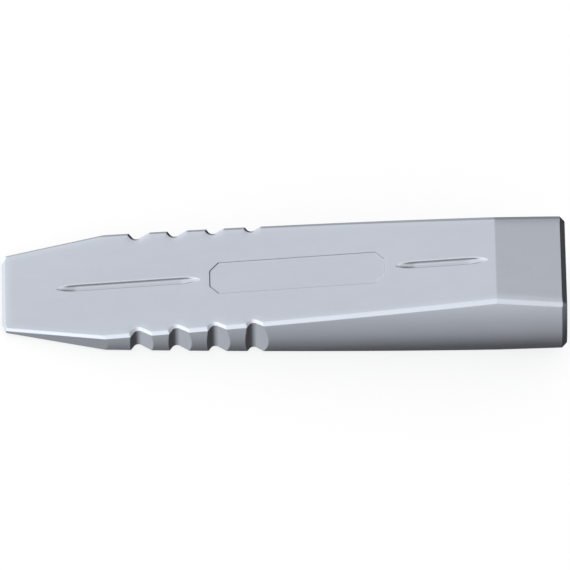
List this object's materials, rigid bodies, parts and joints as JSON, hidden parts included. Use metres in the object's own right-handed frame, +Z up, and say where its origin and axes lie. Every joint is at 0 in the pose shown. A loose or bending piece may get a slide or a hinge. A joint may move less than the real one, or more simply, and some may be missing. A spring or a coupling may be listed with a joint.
{
  "type": "felling wedge",
  "caption": "One-piece aluminium felling and splitting wedge with flat ramps, crowned sides, holding teeth along both edges, grooved faces and a chamfered striking head.",
  "frame": {"origin": "middle of the bottom of the bounding box, with the wedge lying on its lower ramp", "axes": "+X along the wedge from the thin end to the striking head, +Z up out of the lower ramp, +Y across the width"},
  "size_m": [0.2506, 0.0538, 0.0435],
  "materials": {
    "forged_aluminium": "satin, fine blasted"
  },
  "bodies": {
    "root": {"wedge_body": "forged_aluminium"}
  },
  "joints": []
}
